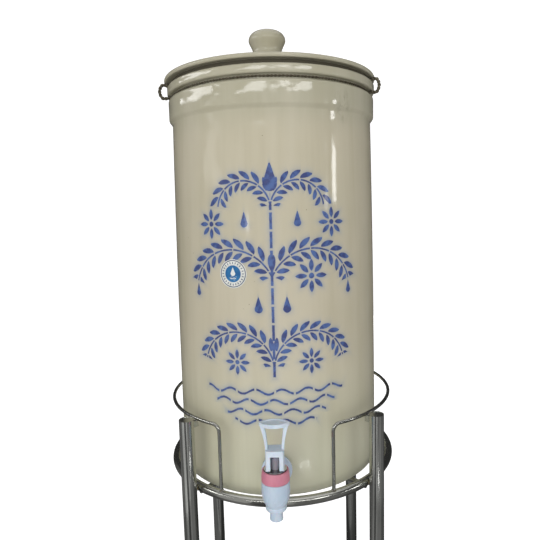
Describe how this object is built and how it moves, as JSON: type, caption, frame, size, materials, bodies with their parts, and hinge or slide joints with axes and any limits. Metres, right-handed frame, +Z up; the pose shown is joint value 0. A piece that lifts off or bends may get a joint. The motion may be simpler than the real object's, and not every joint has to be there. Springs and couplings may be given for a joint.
{
  "type": "gravity water filter with tap",
  "caption": "Two-chamber stoneware gravity water filter with lift-off lid and upper vessel, a pull-to-pour lever tap, and a welded steel tube stand.",
  "frame": {"origin": "on the floor under the middle of the stand's ring, between the four feet", "axes": "+Z up; -Y the front, where the tap is; +X the viewer's right when facing the tap"},
  "size_m": [0.303, 0.3409, 0.8643],
  "materials": {
    "stand_steel": "polished stainless tube and wire",
    "cap_rubber": "black, matt",
    "stoneware": null,
    "dark_wire": "oxidised, dull",
    "tap_plastic": "bluish white, moulded",
    "collar_plastic": "dusty pink, moulded",
    "guide_metal": "plated",
    "stem_plastic": "grey, slightly translucent",
    "seal_rubber": "dark grey, matt",
    "spring_steel": "bright wire",
    "pin_steel": "bright",
    "candle_ceramic": "porous, unglazed white",
    "candle_plastic": "blue, matt"
  },
  "bodies": {
    "stand": {"support_ring": "stand_steel", "guard_hoop": "stand_steel", "leg_front_left": "stand_steel", "leg_front_right": "stand_steel", "leg_rear_left": "stand_steel", "leg_rear_right": "stand_steel", "leg_webs": "stand_steel", "leg_plugs": "stand_steel", "foot_caps": "cap_rubber", "cross_bar_long": "stand_steel", "cross_bar_halves": "stand_steel"},
    "crock": {"crock": "stoneware", "tap_body": "tap_plastic", "collar_nut": "collar_plastic", "stem_guide": "guide_metal", "stem_seal": "seal_rubber", "outer_seal": "seal_rubber", "inner_seal": "seal_rubber", "lock_nut": "tap_plastic", "valve_spring": "spring_steel"},
    "valve": {"valve_stem": "stem_plastic", "valve_plug": "seal_rubber"},
    "handle": {"tap_handle": "tap_plastic", "hinge_pin": "pin_steel"},
    "vessel": {"upper_vessel": "stoneware", "neck_wire": "dark_wire", "ear_left": "dark_wire", "ear_right": "dark_wire", "candle_shell_left": "candle_ceramic", "candle_shell_right": "candle_ceramic", "candle_base_left": "candle_plastic", "candle_base_right": "candle_plastic", "candle_washers": "seal_rubber", "wing_nuts": "candle_plastic"},
    "lid": {"lid": "stoneware"}
  },
  "joints": [
    {"name": "crock_lift", "type": "slide", "parent": "stand", "child": "crock", "axis": [0, 0, 1], "range_m": [0, 0.12]},
    {"name": "vessel_lift", "type": "slide", "parent": "crock", "child": "vessel", "axis": [0, 0, 1], "range_m": [0, 0.3]},
    {"name": "lid_lift", "type": "slide", "parent": "vessel", "child": "lid", "axis": [0, 0, 1], "range_m": [0, 0.1]},
    {"name": "valve_lift", "type": "slide", "parent": "crock", "child": "valve", "axis": [0, 0, 1], "range_m": [0, 0.00281], "deforming": ["valve_spring"]},
    {"name": "handle_tilt", "type": "hinge", "parent": "valve", "child": "handle", "pos_m": [-0.00766, -0.17397, 0.3702], "axis": [0.9998, -0.0209, 0], "range_deg": [0, 35], "stiffness_Nm_per_rad": 0.021, "springref_deg": -74.48}
  ],
  "couplings": [
    {"joint": "handle_tilt", "follows": "valve_lift", "rad_per_m": 217.39}
  ]
}
